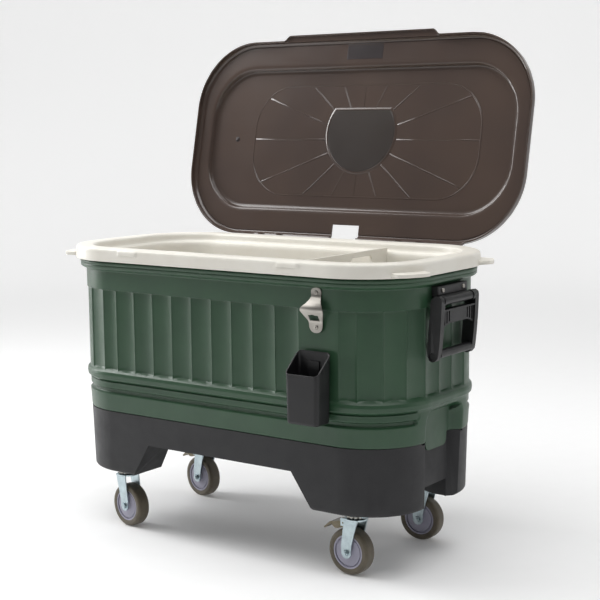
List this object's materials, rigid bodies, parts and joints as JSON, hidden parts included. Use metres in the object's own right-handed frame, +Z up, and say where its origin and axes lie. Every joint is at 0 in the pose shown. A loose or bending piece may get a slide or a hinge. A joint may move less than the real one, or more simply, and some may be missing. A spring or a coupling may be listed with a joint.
{
  "type": "cooler on wheels",
  "caption": "Bar-height party cooler: fluted green tub with white rim on a black leg base, swivel casters, smoke hinged lid standing open, end handles, bottle opener and cap bin.",
  "frame": {"origin": "on the floor, in the middle of the footprint that the cooler takes with its lid open", "axes": "+X along the tub towards the bottle opener's end, +Y towards the lid hinge, +Z up"},
  "size_m": [0.9984, 0.6706, 1.1743],
  "materials": {
    "green_shell": "satin",
    "white_liner": "satin",
    "foam": "matte",
    "black_base": "satin",
    "smoke_lid": "gloss",
    "black_trim": "satin",
    "stainless": "satin",
    "zinc_steel": "satin",
    "brake_steel": "satin",
    "hub_plastic": "satin",
    "tyre_rubber": "matte",
    "black_rubber": "matte"
  },
  "bodies": {
    "cooler_body": {"outer_shell": "green_shell", "inner_liner": "white_liner", "insulation_foam": "foam", "leg_base": "black_base", "lid_hinge_bracket_left": "black_trim", "lid_hinge_bracket_right": "black_trim", "lid_hinge_pin_left": "zinc_steel", "lid_hinge_pin_right": "zinc_steel", "lid_hinge_screws": "stainless", "handle_bracket_left": "black_trim", "handle_bracket_right": "black_trim", "handle_screws_left": "stainless", "handle_screws_right": "stainless", "drain_spout": "white_liner", "drain_gasket": "black_rubber", "drain_nut": "white_liner", "bottle_opener": "stainless", "opener_screws": "stainless", "bin_hanger": "black_trim", "bin_hanger_screws": "zinc_steel", "caster_bearing_balls": "stainless", "caster_plate_bolts": "zinc_steel", "caster_front_left_plate": "zinc_steel", "caster_front_left_kingpin": "zinc_steel", "caster_front_right_plate": "zinc_steel", "caster_front_right_kingpin": "zinc_steel", "caster_rear_left_plate": "zinc_steel", "caster_rear_left_kingpin": "zinc_steel", "caster_rear_right_plate": "zinc_steel", "caster_rear_right_kingpin": "zinc_steel"},
    "lid_body": {"lid": "smoke_lid"},
    "handle_left": {"handle_bail_left": "black_trim", "handle_pin_left": "zinc_steel"},
    "handle_right": {"handle_bail_right": "black_trim", "handle_pin_right": "zinc_steel"},
    "divider_body": {"divider": "white_liner"},
    "drain_plug_body": {"drain_plug": "white_liner"},
    "catch_bin": {"cap_catch_bin": "black_trim"},
    "swivel_front_left": {"caster_front_left_fork": "zinc_steel", "caster_front_left_axle": "zinc_steel"},
    "wheel_front_left": {"caster_front_left_hub": "hub_plastic", "caster_front_left_tyre": "tyre_rubber"},
    "swivel_front_right": {"caster_front_right_fork": "zinc_steel", "caster_front_right_axle": "zinc_steel"},
    "wheel_front_right": {"caster_front_right_hub": "hub_plastic", "caster_front_right_tyre": "tyre_rubber"},
    "brake_front_right": {"caster_front_right_brake": "brake_steel"},
    "swivel_rear_left": {"caster_rear_left_fork": "zinc_steel", "caster_rear_left_axle": "zinc_steel"},
    "wheel_rear_left": {"caster_rear_left_hub": "hub_plastic", "caster_rear_left_tyre": "tyre_rubber"},
    "brake_rear_left": {"caster_rear_left_brake": "brake_steel"},
    "swivel_rear_right": {"caster_rear_right_fork": "zinc_steel", "caster_rear_right_axle": "zinc_steel"},
    "wheel_rear_right": {"caster_rear_right_hub": "hub_plastic", "caster_rear_right_tyre": "tyre_rubber"}
  },
  "joints": [
    {"name": "lid_hinge", "type": "hinge", "parent": "cooler_body", "child": "lid_body", "pos_m": [0, 0.20174, 0.66], "axis": [-1, 0, 0], "range_deg": [-102.1, 0]},
    {"name": "handle_left_swing", "type": "hinge", "parent": "cooler_body", "child": "handle_left", "pos_m": [-0.487, -0.06126, 0.59], "axis": [0, 1, 0], "range_deg": [0, 95]},
    {"name": "handle_right_swing", "type": "hinge", "parent": "cooler_body", "child": "handle_right", "pos_m": [0.487, -0.06126, 0.59], "axis": [0, -1, 0], "range_deg": [0, 95]},
    {"name": "divider_lift", "type": "slide", "parent": "cooler_body", "child": "divider_body", "axis": [0, 0, 1], "range_m": [0, 0.4]},
    {"name": "drain_plug_pull", "type": "slide", "parent": "cooler_body", "child": "drain_plug_body", "axis": [-1, 0, 0], "range_m": [0, 0.03]},
    {"name": "catch_bin_lift", "type": "slide", "parent": "cooler_body", "child": "catch_bin", "axis": [0, 0, 1], "range_m": [0, 0.03]},
    {"name": "caster_front_left_swivel", "type": "hinge", "parent": "cooler_body", "child": "swivel_front_left", "pos_m": [-0.329, -0.20826, 0.125], "axis": [0, 0, 1], "continuous": true},
    {"name": "caster_front_left_roll", "type": "hinge", "parent": "swivel_front_left", "child": "wheel_front_left", "pos_m": [-0.31715, -0.21014, 0.0508], "axis": [0.1564, 0.9877, 0], "continuous": true},
    {"name": "caster_front_right_swivel", "type": "hinge", "parent": "cooler_body", "child": "swivel_front_right", "pos_m": [0.329, -0.20826, 0.125], "axis": [0, 0, 1], "continuous": true},
    {"name": "caster_front_right_roll", "type": "hinge", "parent": "swivel_front_right", "child": "wheel_front_right", "pos_m": [0.31701, -0.20784, 0.0508], "axis": [-0.0349, -0.9994, 0], "continuous": true},
    {"name": "brake_front_right_press", "type": "hinge", "parent": "swivel_front_right", "child": "brake_front_right", "pos_m": [0.30901, -0.20756, 0.115], "axis": [-0.0349, -0.9994, 0], "range_deg": [0, 6]},
    {"name": "caster_rear_left_swivel", "type": "hinge", "parent": "cooler_body", "child": "swivel_rear_left", "pos_m": [-0.329, 0.08574, 0.125], "axis": [0, 0, 1], "continuous": true},
    {"name": "caster_rear_left_roll", "type": "hinge", "parent": "swivel_rear_left", "child": "wheel_rear_left", "pos_m": [-0.34082, 0.08782, 0.0508], "axis": [-0.1736, -0.9848, 0], "continuous": true},
    {"name": "brake_rear_left_press", "type": "hinge", "parent": "swivel_rear_left", "child": "brake_rear_left", "pos_m": [-0.3487, 0.08921, 0.115], "axis": [-0.1736, -0.9848, 0], "range_deg": [0, 6]},
    {"name": "caster_rear_right_swivel", "type": "hinge", "parent": "cooler_body", "child": "swivel_rear_right", "pos_m": [0.329, 0.08574, 0.125], "axis": [0, 0, 1], "continuous": true},
    {"name": "caster_rear_right_roll", "type": "hinge", "parent": "swivel_rear_right", "child": "wheel_rear_right", "pos_m": [0.31701, 0.08532, 0.0508], "axis": [0.0349, -0.9994, 0], "continuous": true}
  ]
}
